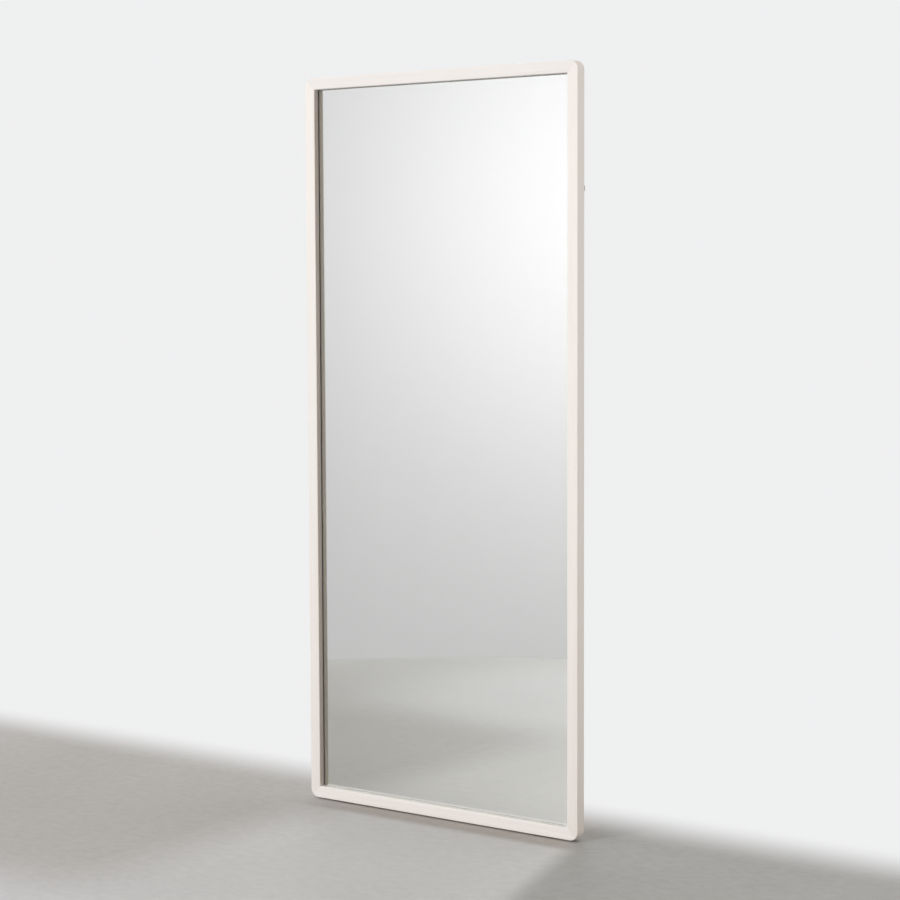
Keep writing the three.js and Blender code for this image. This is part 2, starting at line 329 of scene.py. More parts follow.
def whitewashed(name, along, seed, painted_light_scale=(1.0, 1.0, 1.0)):
    """Thin white paint rubbed over pale timber. along is 'x' or 'z', the way the grain runs. The last argument scales
    the paint's colours: below 1 it paints shade onto the member, above 1 it paints light.
    """
    m = Mat(name, IOR=1.46)

    # a colour scaled by the painted light or shade
    def with_painted_light(*c):
        return tuple(v * k for v, k in zip(c, painted_light_scale))

    def at(run, across, shift):
        k = (run, across, across) if along == "x" else (across, across, run)
        return m.where(k, (seed + shift, 2 * seed + shift, 3 * seed - shift))

    fibre = m.noise(1.0, at(9, 620, 1.3), 5, 0.62)
    band = m.noise(1.0, at(1.6, 75, 4.1), 3, 0.5, 0.4)
    pores = m.ramp(m.noise(1.0, at(26, 1500, 7.7), 2, 0.5), [(0.66, 0.0), (0.74, 1.0)])
    cloud = m.noise(7.0, m.where((1, 1, 1), (seed, 0, 0)), 4, 0.6)
    tone = m.mix(
        m.ramp(fibre, [(0.35, 0.0), (0.7, 1.0)]), with_painted_light(0.795, 0.776, 0.757), with_painted_light(0.837, 0.826, 0.813)
    )
    tone = m.mix(
        m.math("MULTIPLY", m.ramp(band, [(0.42, 0.0), (0.68, 1.0)]), 0.35),
        tone,
        with_painted_light(0.757, 0.73, 0.70),
    )
    tone = m.mix(m.math("MULTIPLY", pores, 0.16), tone, (0.615, 0.576, 0.53))
    tone = m.mix(
        m.math("MULTIPLY", m.ramp(cloud, [(0.4, 0.0), (0.7, 1.0)]), 0.12), tone, with_painted_light(0.86, 0.852, 0.845)
    )
    m.feed("Base Color", tone)
    m.feed("Roughness", m.ramp(fibre, [(0.3, 0.62), (0.75, 0.5)]))
    brush = m.noise(1.0, at(40, 900, 9.2), 3, 0.6)
    m.bump(m.math("MULTIPLY", fibre, 0.7), m.math("MULTIPLY", brush, 0.4), m.math("MULTIPLY", pores, -0.8), strength=0.35, distance=0.00025)
    return m.m


def beech():
    m = Mat("beech_tenon")
    grain = m.noise(1.0, m.where((300, 300, 40)), 4)
    m.feed("Base Color", m.ramp(grain, [(0.35, (0.52, 0.34, 0.2)), (0.7, (0.68, 0.48, 0.31))]))
    m.set("Roughness", 0.7)
    m.bump(grain, distance=0.0001)
    return m.m


def fibreboard():
    m = Mat("fibreboard")
    fine = m.noise(1900.0, None, 3, 0.7)
    fibres = m.noise(1.0, m.where((900, 900, 260), (3, 1, 2)), 4, 0.65, 0.8)
    patch = m.noise(9.0, None, 4, 0.6)
    tone = m.ramp(fibres, [(0.32, (0.235, 0.15, 0.088)), (0.52, (0.325, 0.222, 0.138)), (0.72, (0.42, 0.305, 0.2))])
    tone = m.mix(m.math("MULTIPLY", m.ramp(fine, [(0.5, 0.0), (0.75, 1.0)]), 0.5), tone, (0.19, 0.118, 0.068))
    tone = m.mix(m.math("MULTIPLY", patch, 0.28), tone, (0.44, 0.325, 0.22))
    m.feed("Base Color", tone)
    m.feed("Roughness", m.ramp(fine, [(0.3, 0.62), (0.7, 0.82)]))
    m.bump(fine, fibres, strength=0.3, distance=0.00012)
    return m.m


def cardboard():
    m = Mat("corrugated_card", Roughness=0.88)
    wave = m.node("ShaderNodeTexWave", wave_type="BANDS", bands_direction="X")
    wave.inputs["Scale"].default_value = 45.0
    wave.inputs["Distortion"].default_value = 0.4
    m.join(m.where(), wave.inputs["Vector"])
    fleck = m.noise(700.0, None, 3, 0.6)
    tone = m.ramp(fleck, [(0.35, (0.36, 0.25, 0.15)), (0.7, (0.47, 0.345, 0.22))])
    m.feed("Base Color", m.mix(m.math("MULTIPLY", wave.outputs["Fac"], 0.12), tone, (0.3, 0.2, 0.12)))
    m.bump(wave.outputs["Fac"], fleck, strength=0.4, distance=0.0003)
    return m.m


def plated_steel():
    m = Mat("plated_steel", Metallic=1.0)
    fine = m.noise(1.0, m.where((2500, 2500, 300)), 3, 0.6)
    stain = m.noise(160.0, None, 4, 0.6)
    m.feed("Base Color", m.mix(m.ramp(stain, [(0.35, 0.0), (0.7, 1.0)]), (0.66, 0.645, 0.61), (0.55, 0.53, 0.50)))
    m.feed("Roughness", m.math("ADD", m.math("MULTIPLY", fine, 0.14), m.math("MULTIPLY", stain, 0.22)))
    m.bump(fine, strength=0.15, distance=0.00004)
    return m.m


def rubber(name, fine_scale, low, high, dusty, rough=0.5):
    m = Mat(name)
    fine = m.noise(fine_scale, None, 4, 0.65)
    dust = m.noise(90.0, None, 4, 0.6)
    tone = m.ramp(fine, [(0.35, low), (0.7, high)])
    m.feed("Base Color", m.mix(m.math("MULTIPLY", m.ramp(dust, [(0.5, 0.0), (0.75, 1.0)]), 0.25), tone, dusty))
    m.feed("Roughness", m.ramp(fine, [(0.3, 0.68), (0.7, 0.86)]))
    m.bump(fine, strength=rough, distance=0.00015)
    return m.m


def clear_glass():
    m = Mat("float_glass", Base_Color=(0.995, 0.997, 0.994), Roughness=0.0, IOR=1.52)
    m.set("Transmission Weight", 1.0)
    return m.m


def glass_edge():
    m = Mat("ground_glass_edge", IOR=1.52)
    m.set("Transmission Weight", 0.6)
    frost = m.noise(1200.0, None, 3, 0.6)
    m.feed("Base Color", m.ramp(frost, [(0.3, (0.32, 0.56, 0.47)), (0.7, (0.42, 0.66, 0.57))]))
    m.feed("Roughness", m.ramp(frost, [(0.3, 0.35), (0.7, 0.5)]))
    m.bump(frost, strength=0.3, distance=0.00005)
    return m.m


def silver():
    m = Mat("silvering", Metallic=1.0, Base_Color=(0.828, 0.836, 0.815))
    haze = m.noise(5.0, None, 5, 0.6)
    m.feed("Roughness", m.ramp(haze, [(0.35, 0.0), (0.75, 0.012)]))
    return m.m


def back_paint():
    m = Mat("mirror_back_paint", Roughness=0.55)
    peel = m.noise(500.0, None, 3, 0.6)
    m.feed("Base Color", m.ramp(peel, [(0.3, (0.2, 0.235, 0.235)), (0.7, (0.25, 0.285, 0.285))]))
    m.bump(peel, strength=0.3, distance=0.0001)
    return m.m


wash_left = whitewashed("whitewashed_left", "z", 1.7)
wash_right = whitewashed("whitewashed_right", "z", 5.3)
# painted shade and light: the top rail's paint is a slightly darker copy and the bottom rail's a slightly lighter copy,
# for how the light falls on them
wash_top_painted_shade = whitewashed("whitewashed_top_painted_shade", "x", 8.9, (0.935, 0.945, 0.955))
wash_bottom_painted_light = whitewashed("whitewashed_bottom_painted_light", "x", 12.1, (1.075, 1.088, 1.098))
# painted shade and light for the lip's face across the opening: a darker copy on the stiles, a lighter copy under the
# top rail
wash_lip_painted_shade = whitewashed("whitewashed_lip_painted_shade", "z", 3.1, (0.86, 0.855, 0.83))
wash_lip_top_painted_light = whitewashed("whitewashed_lip_top_painted_light", "x", 10.4, (1.08, 1.065, 1.03))
mdf, card_mat, steel, black, tape_mat, tenon_mat = (
    fibreboard(),
    cardboard(),
    plated_steel(),
    rubber("black_rubber", 1400.0, (0.016, 0.016, 0.017), (0.034, 0.034, 0.035), (0.09, 0.085, 0.08)),
    rubber("grey_foam_tape", 2600.0, (0.50, 0.475, 0.44), (0.60, 0.575, 0.54), (0.62, 0.60, 0.57)),
    beech(),
)
# painted light: the bottom strip is a paler copy of the tape, standing in for the light from above that reaches the
# slit behind the bottom lip
pale_tape_painted_light = rubber("pale_foam_tape_painted_light", 2600.0, (0.84, 0.825, 0.80), (0.90, 0.885, 0.86), (0.87, 0.855, 0.83), 0.12)

# ---------------------------------------------------------------------------------------------
# Frame members: one eased section swept from mitre to mitre, round the outside corner
# ---------------------------------------------------------------------------------------------
FACE_MM, DEPTH_MM, LIP_MM, REB_MM, R_MM = (v / MM for v in (FACE, DEPTH, LIP, REBATE, CORNER))
RIM = FACE_MM - REB_MM
section = [
    *arc(1.5, 1.5, 1.5, 180, 270, 6),
    (7, 0), (12, 0), (17, 0), (21.9, 0), (24.5, 0),
    *arc(FACE_MM - 1.8, 1.8, 1.8, 270, 360, 6),
    (FACE_MM, 5), (FACE_MM, 9),
    *arc(FACE_MM - 0.4, LIP_MM - 0.4, 0.4, 0, 90, 2),
    (24, LIP_MM), (RIM, LIP_MM),
    (RIM, 18), (RIM, 24),
    *arc(RIM - 0.6, DEPTH_MM - 0.6, 0.6, 0, 90, 3),
    (13, DEPTH_MM), (8, DEPTH_MM),
    *arc(3.0, DEPTH_MM - 3.0, 3.0, 90, 180, 8),
    (0, 22), (0, 15), (0, 8),
]
JOINT = 0.07  # half of the hairline at each mitre, along the member
BEND = 12


def end_ring(k):
    """Where the section's points are at step k of the last 40 mm, as (along, inward, depth)."""
    ring = []
    for u, d in section:
        if u < R_MM - 0.01:
            r = R_MM - u
            if k <= 3:
                ring.append((40 - (40 - R_MM) * k / 3, u, d))
            else:
                a = math.radians(45) * (k - 3) / (BEND - 3)
                ring.append((R_MM - r * math.sin(a), R_MM - r * math.cos(a), d))
        else:
            ring.append((40 + (u - 40) * k / BEND, u, d))
    if k == BEND:
        ring = [(s + JOINT, u, d) for s, u, d in ring]
    return ring


def member(name, node, length_m, to_world, material):
    length = length_m / MM
    rings = [end_ring(k) for k in range(BEND, -1, -1)]
    steps = round((length - 80) / 45)
    for i in range(1, steps):
        s = 40 + (length - 80) * i / steps
        rings.append([(s, u, d) for u, d in section])
    rings += [[(length - s, u, d) for s, u, d in end_ring(k)] for k in range(BEND + 1)]
    me = loft(name, [[to_world(s * MM, u * MM, d * MM) for s, u, d in r] for r in rings])
    return place(name, me, material, "frame", node)


left_stile = member("stile_left", "frame_stile_left", Z_HIGH - Z_LOW, lambda s, u, d: (-X_OUT + u, Y_FRONT + d, Z_LOW + s), wash_left)
right_stile = member("stile_right", "frame_stile_right", Z_HIGH - Z_LOW, lambda s, u, d: (X_OUT - u, Y_FRONT + d, Z_LOW + s), wash_right)
# the bottom rail takes the lighter copy of the paint (painted light), the top rail the darker copy (painted shade)
member("rail_bottom", "frame_rail_bottom", 2 * X_OUT, lambda s, u, d: (-X_OUT + s, Y_FRONT + d, Z_LOW + u), wash_bottom_painted_light)
top_rail = member("rail_top", "frame_rail_top", 2 * X_OUT, lambda s, u, d: (-X_OUT + s, Y_FRONT + d, Z_HIGH - u), wash_top_painted_shade)

# The face of the lip that looks across the opening takes a second copy of the paint: darker on the stiles, painted
# shade in the reveal, and lighter on the top rail, painted light on the lip's underside
for lipped, inward, lip_painted_shade_and_light in ((left_stile, (1, 0, 0), wash_lip_painted_shade), (right_stile, (-1, 0, 0), wash_lip_painted_shade), (top_rail, (0, 0, -1), wash_lip_top_painted_light)):
    lipped.data.materials.append(lip_painted_shade_and_light)
    for p in lipped.data.polygons:
        if p.normal.dot(Vector(inward)) > 0.95 and p.center.y < Y_FRONT + LIP:
            p.material_index = 1

# ---------------------------------------------------------------------------------------------
# Glazing tape: foam strips squeezed between lip and glass, bulging almost to the sight line
# ---------------------------------------------------------------------------------------------
tapes = {}
for side in ("left", "right", "top", "bottom"):
    lo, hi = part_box(f"glazing_tape_{side}")
    y0, y1 = lo.y / MM, hi.y / MM
    upright = side in ("left", "right")
    if upright:
        away, start, stop = (-1 if side == "left" else 1), lo.z, hi.z
        inner = (lo.x if away > 0 else hi.x) / MM - away * 1.1
        outer = (hi.x if away > 0 else lo.x) / MM
    else:
        away, start, stop = (-1 if side == "bottom" else 1), lo.x, hi.x
        inner = (lo.z if away > 0 else hi.z) / MM - away * 1.1
        outer = (hi.z if away > 0 else lo.z) / MM
    mid, half = (y0 + y1) / 2, (y1 - y0) / 2 - 0.02
    strip = [(inner + away * 0.45 * (1 - math.cos(a)), mid + half * math.sin(a)) for a in (math.radians(-90 + 22.5 * k) for k in range(9))]
    strip += [(inner + away * 2.5, mid + half), (outer, mid + half), (outer, mid - half), (inner + away * 2.5, mid - half)]
    rings = []
    for i in range(41):
        at = start + (stop - start) * i / 40
        rings.append([((q * MM, y * MM, at) if upright else (at, y * MM, q * MM)) for q, y in strip])
    # the bottom strip takes the paler tape, painted light
    tapes[side] = place(f"tape_{side}", loft(f"tape_{side}", rings), pale_tape_painted_light if side == "bottom" else tape_mat, "frame", f"glazing_tape_{side}")

# ---------------------------------------------------------------------------------------------
# Mirror pane: clear float glass, its silvering and the paint behind that
# ---------------------------------------------------------------------------------------------
FILM = 0.10 * MM
glass_mesh = box_mesh("pane", glass_lo, (glass_hi.x, glass_hi.y - 1.4 * FILM, glass_hi.z))
glass_mesh.materials.append(clear_glass())
glass_mesh.materials.append(glass_edge())
for p in glass_mesh.polygons:
    p.use_smooth = False
    p.material_index = 0 if abs(p.normal.y) > 0.9 else 1
pane = place("mirror_pane", glass_mesh, None, "frame", "mirror_glass")
bevelled(pane, 0.5 * MM, 1)
film_mesh = box_mesh("film", (glass_lo.x + 0.6 * MM, glass_hi.y - FILM, glass_lo.z + 0.6 * MM), (glass_hi.x - 0.6 * MM, glass_hi.y, glass_hi.z - 0.6 * MM))
film_mesh.materials.append(silver())
film_mesh.materials.append(back_paint())
for p in film_mesh.polygons:
    p.use_smooth = False
    p.material_index = 0 if p.normal.y < -0.9 else 1
place("mirror_silvering", film_mesh, None, "frame", "mirror_glass")

# ---------------------------------------------------------------------------------------------
# CAD nodes whose shape is right: better materials and eased edges
# ---------------------------------------------------------------------------------------------


def dress(node, material, ease=None, segments=2):
    o = nodes[node]
    o.data.materials.clear()
    o.data.materials.append(material)
    if ease:
        bevelled(o, ease, segments)


dress("backing_board", mdf, 0.5 * MM)
dress("filler_sheet", card_mat)
for side in ("left", "right"):
    dress(f"glass_setting_block_{side}", black, 0.3 * MM)
for corner in ("bottom_left", "bottom_right", "top_left", "top_right"):
    dress(f"mitre_tenon_{corner}", tenon_mat, 0.6 * MM)

# ---------------------------------------------------------------------------------------------
# Screws: pan heads with a cross recess
# ---------------------------------------------------------------------------------------------


def screw_mesh():
    shank, head_r, head_h, length = 1.6, 3.3, 2.15, 15.0
    prof = [(0, -length), (0.35, -length + 0.6)]
    z, turn = -length + 3.4, 0
    prof.append((shank * 0.72, z))
    while z < -2.2:
        prof += [(shank * 0.78, z + 0.1), (shank, z + 0.45), (shank, z + 0.6), (shank * 0.78, z + 0.95)]
        z += 1.25
    prof += [(shank * 0.8, -1.2), (shank * 0.8, 0), (head_r - 0.25, 0), (head_r, 0.25), (head_r, 0.75)]
    prof += [(head_r * math.cos(math.radians(a)) * 0.98 + 0.04, 0.75 + (head_h - 0.75) * math.sin(math.radians(a))) for a in (14, 28, 42, 56, 68)]
    prof += [(head_r * 0.22, head_h), (0, head_h)]
    body = lathe("screw", [(r * MM, h * MM) for r, h in prof], 32, 30)
    w, reach, deep = 0.42, 1.95, 1.25
    cross = []
    for half_w, half_l in ((w, reach), (reach, w)):
        lo = (-half_w * MM, (head_h - deep) * MM, -half_l * MM)
        hi = (half_w * MM, (head_h + 1) * MM, half_l * MM)
        cross.append(box_mesh("slot", lo, hi))
    for c in cross:
        body = boolean(body, c, "DIFFERENCE")
    bm = bmesh.new()
    bm.from_mesh(body)
    return finish_mesh(bm, "screw", 30)


screw_data = screw_mesh()
screw_data.materials.append(steel)


def screw(node):
    lo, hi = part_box(node)
    seat = hi.y - 2.2 * MM
    at = Matrix.Translation(((lo.x + hi.x) / 2, seat, (lo.z + hi.z) / 2))
    spin = Matrix.Rotation(random.uniform(0, math.pi / 2), 4, "Y")
    return place("s_" + node, screw_data, None, "frame", node, at @ spin)


screws = sorted(n for n in nodes if "screw" in n)
for n in screws:
    screw(n)

# ---------------------------------------------------------------------------------------------
# Turn buttons: stamped tongues
# ---------------------------------------------------------------------------------------------
HOLE = 1.8
outline = arc(0, 0, 5.95, 90, 270, 20)
outline += [(2.4, -5.9), (5.2, -5.55)]
outline += [(18.2, -3.75)] + arc(18.35, 0, 3.62, -84, 84, 14) + [(18.2, 3.75)]
outline += [(5.2, 5.55), (2.4, 5.9)]
button_mesh = plate(
    "turn_button",
    [(x * MM, y * MM) for x, y in outline],
    [[(x * MM, y * MM) for x, y in arc(0, 0, HOLE, 0, 348.75, 31)]],
    1.46 * MM,
    0.28 * MM,
)
button_mesh.materials.append(steel)


def turn_button(node):
    joint = next(j for j in frame["joints"] if j["child"] == node)
    x, y, z = joint["pos_m"]
    lo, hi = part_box(node)
    mid = Vector(((lo.x + hi.x) / 2 - x, 0, (lo.z + hi.z) / 2 - z))
    # plate's X runs along the tongue, its Z along the row's +Y
    along = mid.normalized()
    up = Vector((0, 1, 0))
    side = up.cross(along)
    m = Matrix((along, side, up)).transposed().to_4x4()
    m.translation = (x, (lo.y + hi.y) / 2, z)
    return place("b_" + node, button_mesh, None, node, node, m)


buttons = sorted(n for n in nodes if n.startswith("turn_button"))
for n in buttons:
    turn_button(n)

# ---------------------------------------------------------------------------------------------
# D-ring hangers
# ---------------------------------------------------------------------------------------------


def ring_mesh(name, pivot, wire=1.28, half=7.2, drop=14.7, r=2.6):
    path = [(0.25, 0.0)]
    path += arc(half - r, -r, r, 90, 0, 10)
    path += arc(0, -(drop - half), half, 0, -180, 36)
    path += arc(-(half - r), -r, r, 180, 90, 10)
    path += [(-0.25, 0.0)]
    pts = [Vector((x, 0, z)) for x, z in path]
    rings = []
    for i, p in enumerate(pts):
        t = (pts[min(i + 1, len(pts) - 1)] - pts[max(i - 1, 0)]).normalized()
        n = Vector((0, 1, 0)).cross(t)
        rings.append(
            [
                tuple(
                    Vector(pivot)
                    + (p + (n * math.cos(a) + Vector((0, 1, 0)) * math.sin(a)) * wire) * MM
                )
                for a in (2 * math.pi * k / 16 for k in range(16))
            ]
        )
    return loft(name, rings, sharp=50)


def strap_mesh(name, pivot, screw_drops):
    px, py, pz = pivot
    y0 = Y_BACK - py  # the strap's seat, from the pivot
    outer, inner, gauge, drop = 2.64 * MM, 1.5 * MM, 1.2 * MM, 38 * MM
    wide = 9.5 * MM
    # side profile in (z, y) about the pivot: a flat tail whose top rolls into a knuckle
    start = math.degrees(math.asin(max(-1, min(1, (y0 + gauge) / outer))))
    knuckle = arc(0, 0, outer, 180 - start, -90, 30)
    loop = [(-drop, y0), (-drop, y0 + gauge)]
    loop += [(-outer * math.cos(math.radians(start)) - 0.5 * MM, y0 + gauge)]
    loop += [(c, s) for c, s in knuckle]
    loop = [p for i, p in enumerate(loop) if i == 0 or (p[0] - loop[i - 1][0]) ** 2 + (p[1] - loop[i - 1][1]) ** 2 > 1e-12]
    bore = arc(0, 0, inner, 0, 345, 23)
    me = plate("profile", loop, [bore], wide, 0.22 * MM, 1)
    # plate axes: X is row z, Y is row y, Z is row -x
    m = Matrix(((0, 0, -1), (0, 1, 0), (1, 0, 0))).to_4x4()
    m.translation = pivot
    me.transform(m)
    half = wide / 2
    tail = [(-half - MM, 4 * MM), (-half - MM, -drop + half)] + [(-half + 0.02 * MM, -drop + half)]
    tail += arc(0, -drop + half, half - 0.02 * MM, 180, 360, 20)[1:-1]
    tail += [(half - 0.02 * MM, -drop + half), (half + MM, -drop + half), (half + MM, 4 * MM)]
    # the outline in (x, z), made thick along y
    n = len(tail)
    verts = [(px + x, Y_BACK - MM, pz + z) for x, z in tail] + [(px + x, Y_BACK + 9 * MM, pz + z) for x, z in tail]
    faces = [tuple(range(n)), tuple(range(2 * n - 1, n - 1, -1))] + [(i, (i + 1) % n, n + (i + 1) % n, n + i) for i in range(n)]
    me = boolean(me, mesh_from("outline", verts, faces), "INTERSECT")
    for d in screw_drops:
        hole = lathe("hole", [(0, -3 * MM), (1.9 * MM, -3 * MM), (1.9 * MM, 5 * MM), (0, 5 * MM)], 32)
        hole.transform(Matrix.Translation((px, Y_BACK, pz - d)))
        me = boolean(me, hole, "DIFFERENCE")
    bm = bmesh.new()
    bm.from_mesh(me)
    # the cuts leave points in the middle of straight edges
    bmesh.ops.remove_doubles(bm, verts=bm.verts[:], dist=0.004 * MM)
    bmesh.ops.dissolve_limit(bm, angle_limit=math.radians(0.3), verts=bm.verts[:], edges=bm.edges[:])
    # and can leave a slit of no width: its middle point goes to the nearer end
    weld = {}
    for v in bm.verts:
        ends = [e.other_vert(v) for e in v.link_edges if e.is_boundary]
        if len(ends) == 2 and (ends[0].co - v.co).angle(ends[1].co - v.co) > math.radians(178):
            weld[v] = min(ends, key=lambda w: (w.co - v.co).length)
    if weld:
        bmesh.ops.weld_verts(bm, targetmap=weld)
    bmesh.ops.triangulate(bm, faces=bm.faces[:])
    bmesh.ops.dissolve_degenerate(bm, dist=0.003 * MM, edges=bm.edges[:])
    return finish_mesh(bm, name, 34)


for side in ("left", "right"):
    joint = next(j for j in frame["joints"] if j["child"] == f"d_ring_{side}")
    pivot = Vector(joint["pos_m"])
    place(f"ring_{side}", ring_mesh(f"ring_{side}", pivot), steel, f"d_ring_{side}", f"d_ring_{side}")
    drops = []
    for i in (1, 2):
        lo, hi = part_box(f"strap_screw_{side}_{i}")
        drops.append(pivot.z - (lo.z + hi.z) / 2)
    place(f"strap_{side}", strap_mesh(f"strap_{side}", pivot, drops), steel, "frame", f"d_ring_strap_{side}")

# ---------------------------------------------------------------------------------------------
# Rubber bumpers and foot pads
# ---------------------------------------------------------------------------------------------
bumper_prof = [(0, 0), (7.1, 0), (7.45, 0.35)]
bumper_prof += [(7.45 - 0.2 * t, 0.35 + 3.3 * t) for t in (0.5, 1.0)]
bumper_prof += arc(5.75, 4.45, 1.5, 0, 90, 8)
bumper_prof += [(3.2, 5.95), (2.9, 5.7), (0, 5.7)]
bumper_data = lathe("bumper", [(r * MM, h * MM) for r, h in bumper_prof], 48, 40)
bumper_data.materials.append(black)
for corner in ("bottom_left", "bottom_right", "top_left", "top_right"):
    lo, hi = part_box(f"wall_bumper_{corner}")
    at = Matrix.Translation(((lo.x + hi.x) / 2, lo.y, (lo.z + hi.z) / 2))
    place(f"bumper_{corner}", bumper_data, None, "frame", f"wall_bumper_{corner}", at)

for side in ("left", "right"):
    lo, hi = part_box(f"foot_pad_{side}")
    w, d, t = hi.x - lo.x, hi.y - lo.y, hi.z - lo.z
    c = 3 * MM
    loop = [
        (x * MM, y * MM)
        for cx, cy, a in ((w / 2 - c, d / 2 - c, 0), (-w / 2 + c, d / 2 - c, 90), (-w / 2 + c, -d / 2 + c, 180), (w / 2 - c, -d / 2 + c, 270))
        for x, y in arc(cx / MM, cy / MM, c / MM, a, a + 90, 6)
    ]
    me = plate(f"foot_{side}", loop, [], t, 0.4 * MM)
    at = Matrix.Translation(((lo.x + hi.x) / 2, (lo.y + hi.y) / 2, (lo.z + hi.z) / 2))
    place(f"foot_{side}", me, black, "frame", f"foot_pad_{side}", at)

# ---------------------------------------------------------------------------------------------
# Stage: pale floor, soft light, and a studio reflector that only the mirror sees
# ---------------------------------------------------------------------------------------------
world = bpy.data.worlds.new("studio")
bpy.context.scene.world = world
world.use_nodes = True
wt = world.node_tree
wt.nodes.clear()
w_out = wt.nodes.new("ShaderNodeOutputWorld")
w_mix = wt.nodes.new("ShaderNodeMixShader")
w_seen = wt.nodes.new("ShaderNodeBackground")
w_seen.inputs[0].default_value = (0.865, 0.868, 0.875, 1)
w_lit = wt.nodes.new("ShaderNodeBackground")
path = wt.nodes.new("ShaderNodeLightPath")
coord = wt.nodes.new("ShaderNodeTexCoord")
dot = wt.nodes.new("ShaderNodeVectorMath")
dot.operation = "DOT_PRODUCT"
dot.inputs[1].default_value = (0.77, -0.60, -0.2)
ramp = wt.nodes.new("ShaderNodeValToRGB")
ramp.color_ramp.elements[0].position = 0.0
ramp.color_ramp.elements[0].color = (0.90, 0.89, 0.88, 1)
ramp.color_ramp.elements[1].position = 0.85
ramp.color_ramp.elements[1].color = (0.67, 0.51, 0.365, 1)
wt.links.new(coord.outputs["Generated"], dot.inputs[0])
wt.links.new(dot.outputs["Value"], ramp.inputs[0])
wt.links.new(ramp.outputs[0], w_lit.inputs[0])
wt.links.new(path.outputs["Is Camera Ray"], w_mix.inputs[0])
wt.links.new(w_lit.outputs[0], w_mix.inputs[1])
wt.links.new(w_seen.outputs[0], w_mix.inputs[2])
wt.links.new(w_mix.outputs[0], w_out.inputs[0])

floor_mesh = mesh_from("floor", [(-30, -30, 0), (30, -30, 0), (30, 30, 0), (-30, 30, 0)], [(0, 1, 2, 3)])
fm = Mat("studio_floor", Roughness=0.5)
drift = fm.noise(1.3, None, 5, 0.55)
streak = fm.noise(1.0, fm.where((34, 46, 1)), 5, 0.6)
speck = fm.noise(420.0, None, 3, 0.6)


def length_from(x, y):
    n = fm.node("ShaderNodeVectorMath", operation="LENGTH")
    fm.join(fm.where((1, 1, 0), (-x, -y, 0)), n.inputs[0])
    return n.outputs["Value"]


def along(x, y):
    n = fm.node("ShaderNodeVectorMath", operation="DOT_PRODUCT")
    n.inputs[1].default_value = (x, y, 0)
    fm.join(fm.where(), n.inputs[0])
    return n.outputs["Value"]


def eased(value, low, high):
    n = fm.node("ShaderNodeMapRange", interpolation_type="SMOOTHSTEP")
    n.inputs["From Min"].default_value = low
    n.inputs["From Max"].default_value = high
    fm.join(value, n.inputs["Value"])
    return n.outputs["Result"]


# painted light: the pool of light that the mirror throws back on the floor in front of it, painted into the floor
# colour, ending in a soft edge to one side
near = fm.mix(eased(along(0.0, -1.0), 0.1, 0.9), (0.542, 0.55, 0.552), (0.485, 0.49, 0.492))
# painted shadow: a darker strip just in front of the bottom rail, where the rail keeps the thrown light off the floor
near = fm.mix(eased(along(0.0, -1.0), 0.06, 0.105), (0.35, 0.328, 0.308), near)
# the painted pool of light ends in a soft edge to the left
tone = fm.mix(eased(along(1.0, 0.0), -0.47, -0.16), (0.372, 0.366, 0.356), near)
# painted light: a wider, brighter pool farther out in front
far = fm.math("MULTIPLY", eased(length_from(-0.45, -1.5), 1.1, 0.35), eased(along(0.0, -1.0), 0.75, 1.2))
tone = fm.mix(far, tone, (0.532, 0.541, 0.56))
# painted shade: the floor past the pool's edge to the right is darker
tone = fm.mix(eased(along(1.0, 0.3), 0.35, 0.43), tone, (0.303, 0.305, 0.297))
tone = fm.mix(0.2, tone, fm.ramp(drift, [(0.3, 0.28), (0.7, 0.72)]), "SOFT_LIGHT")
tone = fm.mix(0.2, tone, fm.ramp(streak, [(0.3, 0.22), (0.7, 0.78)]), "SOFT_LIGHT")
tone = fm.mix(0.16, tone, fm.ramp(speck, [(0.3, 0.2), (0.7, 0.8)]), "SOFT_LIGHT")
fm.feed("Base Color", tone)
# behind the mirror and far away the floor runs out into the pale background
fade = fm.math("MAXIMUM", eased(along(0.0, 1.0), 0.05, 0.36), eased(length_from(0, 0), 1.2, 4.1))
glow = fm.node("ShaderNodeEmission")
glow.inputs[0].default_value = (0.865, 0.868, 0.875, 1)
blend = fm.node("ShaderNodeMixShader")
fm.join(fade, blend.inputs[0])
fm.join(fm.bsdf.outputs[0], blend.inputs[1])
fm.join(glow.outputs[0], blend.inputs[2])
fm.join(blend.outputs[0], fm.out.inputs[0])
floor_mesh.materials.append(fm.m)
floor = link("floor", floor_mesh)

# The reflector: a low curved wall round the front of the mirror that glows with painted light, one soft pool of light
# on a dimmer ground
REACH = 2.28
COLS, ROWS = 96, 48
TALL = 2.0
POOL_AT = (-18.4, 1.61)  # degrees from straight ahead, metres up
POOL_WIDE, POOL_TALL = 20.9, 0.82
DIM, POOL = 0.608, 0.640


def reflector_light(az, z):
    u, v = (az - POOL_AT[0]) / POOL_WIDE, (z - POOL_AT[1]) / POOL_TALL
    k = DIM + POOL * math.exp(-(u * u + v * v) / 2)
    warm = 0.004 * (1 - z)
    return [k, k * 0.994, k * 1.016 * (1 - warm)]


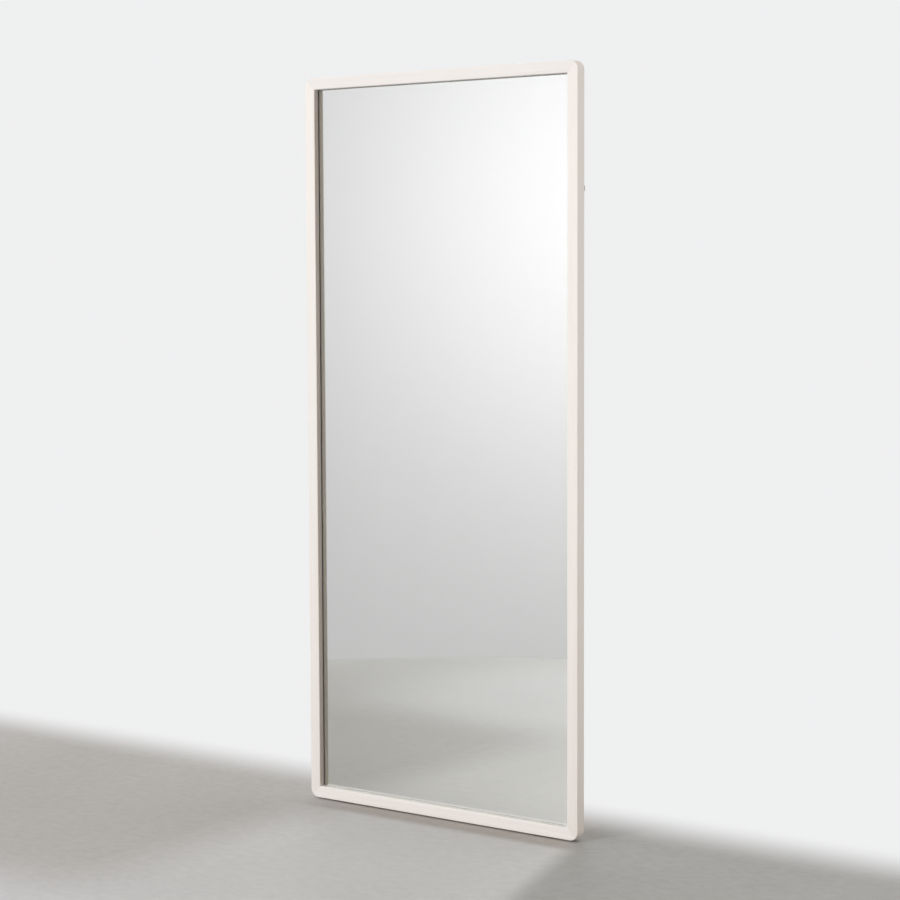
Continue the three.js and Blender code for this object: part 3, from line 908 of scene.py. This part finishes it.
verts, faces, light = [], [], []
for j in range(ROWS + 1):
    z = TALL * j / ROWS
    for i in range(COLS + 1):
        az = -88 + 176 * i / COLS
        verts.append((REACH * math.sin(math.radians(az)), -REACH * math.cos(math.radians(az)), z))
        light.append(reflector_light(az, z))
for j in range(ROWS):
    for i in range(COLS):
        a = j * (COLS + 1) + i
        faces.append((a, a + 1, a + COLS + 2, a + COLS + 1))
card = bpy.data.meshes.new("reflector")
card.from_pydata(verts, [], faces)
attr = card.color_attributes.new("glow", "FLOAT_COLOR", "POINT")
for k, c in enumerate(light):
    attr.data[k].color = (*c, 1.0)
cm = bpy.data.materials.new("reflector")
cm.use_nodes = True
ct = cm.node_tree
ct.nodes.clear()
c_out = ct.nodes.new("ShaderNodeOutputMaterial")
c_em = ct.nodes.new("ShaderNodeEmission")
c_at = ct.nodes.new("ShaderNodeAttribute")
c_at.attribute_name = "glow"
c_tc = ct.nodes.new("ShaderNodeTexCoord")
c_mp = ct.nodes.new("ShaderNodeMapping")
c_mp.inputs["Scale"].default_value = (9, 9, 2.2)
c_no = ct.nodes.new("ShaderNodeTexNoise")
c_no.inputs["Scale"].default_value = 1.0
c_no.inputs["Detail"].default_value = 6
c_no.inputs["Roughness"].default_value = 0.6
c_mx = ct.nodes.new("ShaderNodeMix")
c_mx.data_type = "RGBA"
c_mx.blend_type = "SOFT_LIGHT"
c_mx.inputs[0].default_value = 0.06
ct.links.new(c_tc.outputs["Object"], c_mp.inputs["Vector"])
ct.links.new(c_mp.outputs[0], c_no.inputs["Vector"])
ct.links.new(c_at.outputs["Color"], c_mx.inputs[6])
ct.links.new(c_no.outputs["Fac"], c_mx.inputs[7])
ct.links.new(c_mx.outputs[2], c_em.inputs[0])
ct.links.new(c_em.outputs[0], c_out.inputs[0])
card.materials.append(cm)
reflector = link("reflector", card)
reflector.visible_camera = False
reflector.visible_diffuse = False
reflector.visible_shadow = False


def area_light(name, at, look, size, watts, color):
    ld = bpy.data.lights.new(name, "AREA")
    ld.shape = "DISK"
    ld.size = size
    ld.energy = watts
    ld.color = color
    o = bpy.data.objects.new(name, ld)
    bpy.context.scene.collection.objects.link(o)
    o.location = at
    o.rotation_euler = (Vector(look) - Vector(at)).to_track_quat("-Z", "Y").to_euler()
    return o


key = area_light("key", (-5.6, -15.4, 9.4), (0, 0, 0.9), 5.5, 1375, (1.0, 0.993, 0.995))

# the key light as the mirror throws it back into the narrow gap behind the bottom lip
thrown = area_light("key_thrown_back", (-5.6, 15.4, 9.4), (0, 0, 0.05), 5.5, 3100, (1.0, 0.985, 0.965))
lit = bpy.data.collections.new("lit_by_thrown_light")
lit.objects.link(tapes["bottom"])
thrown.light_linking.receiver_collection = lit
in_its_way = bpy.data.collections.new("in_the_way_of_thrown_light")
in_its_way.objects.link(floor)
thrown.light_linking.blocker_collection = in_its_way

# ---------------------------------------------------------------------------------------------
# Camera
# ---------------------------------------------------------------------------------------------
CAM_AT = Vector((3.15178, -4.30337, 1.31760))
CAM_YAW, CAM_PITCH, CAM_ROLL = 0.628262, -0.078437, -0.004081
cam_data = bpy.data.cameras.new("camera")
cam_data.sensor_width = 36
cam_data.lens = 89.038
cam_data.clip_end = 200
camera = bpy.data.objects.new("camera", cam_data)
bpy.context.scene.collection.objects.link(camera)
ahead = Vector((-math.sin(CAM_YAW) * math.cos(CAM_PITCH), math.cos(CAM_YAW) * math.cos(CAM_PITCH), math.sin(CAM_PITCH)))
right = Vector((math.cos(CAM_YAW), math.sin(CAM_YAW), 0))
above = right.cross(ahead)
r2 = right * math.cos(CAM_ROLL) + above * math.sin(CAM_ROLL)
u2 = above * math.cos(CAM_ROLL) - right * math.sin(CAM_ROLL)
pose = Matrix((r2, u2, -ahead)).transposed().to_4x4()
pose.translation = CAM_AT
camera.matrix_world = pose
bpy.context.scene.camera = camera
bpy.context.scene.view_settings.view_transform = "Standard"
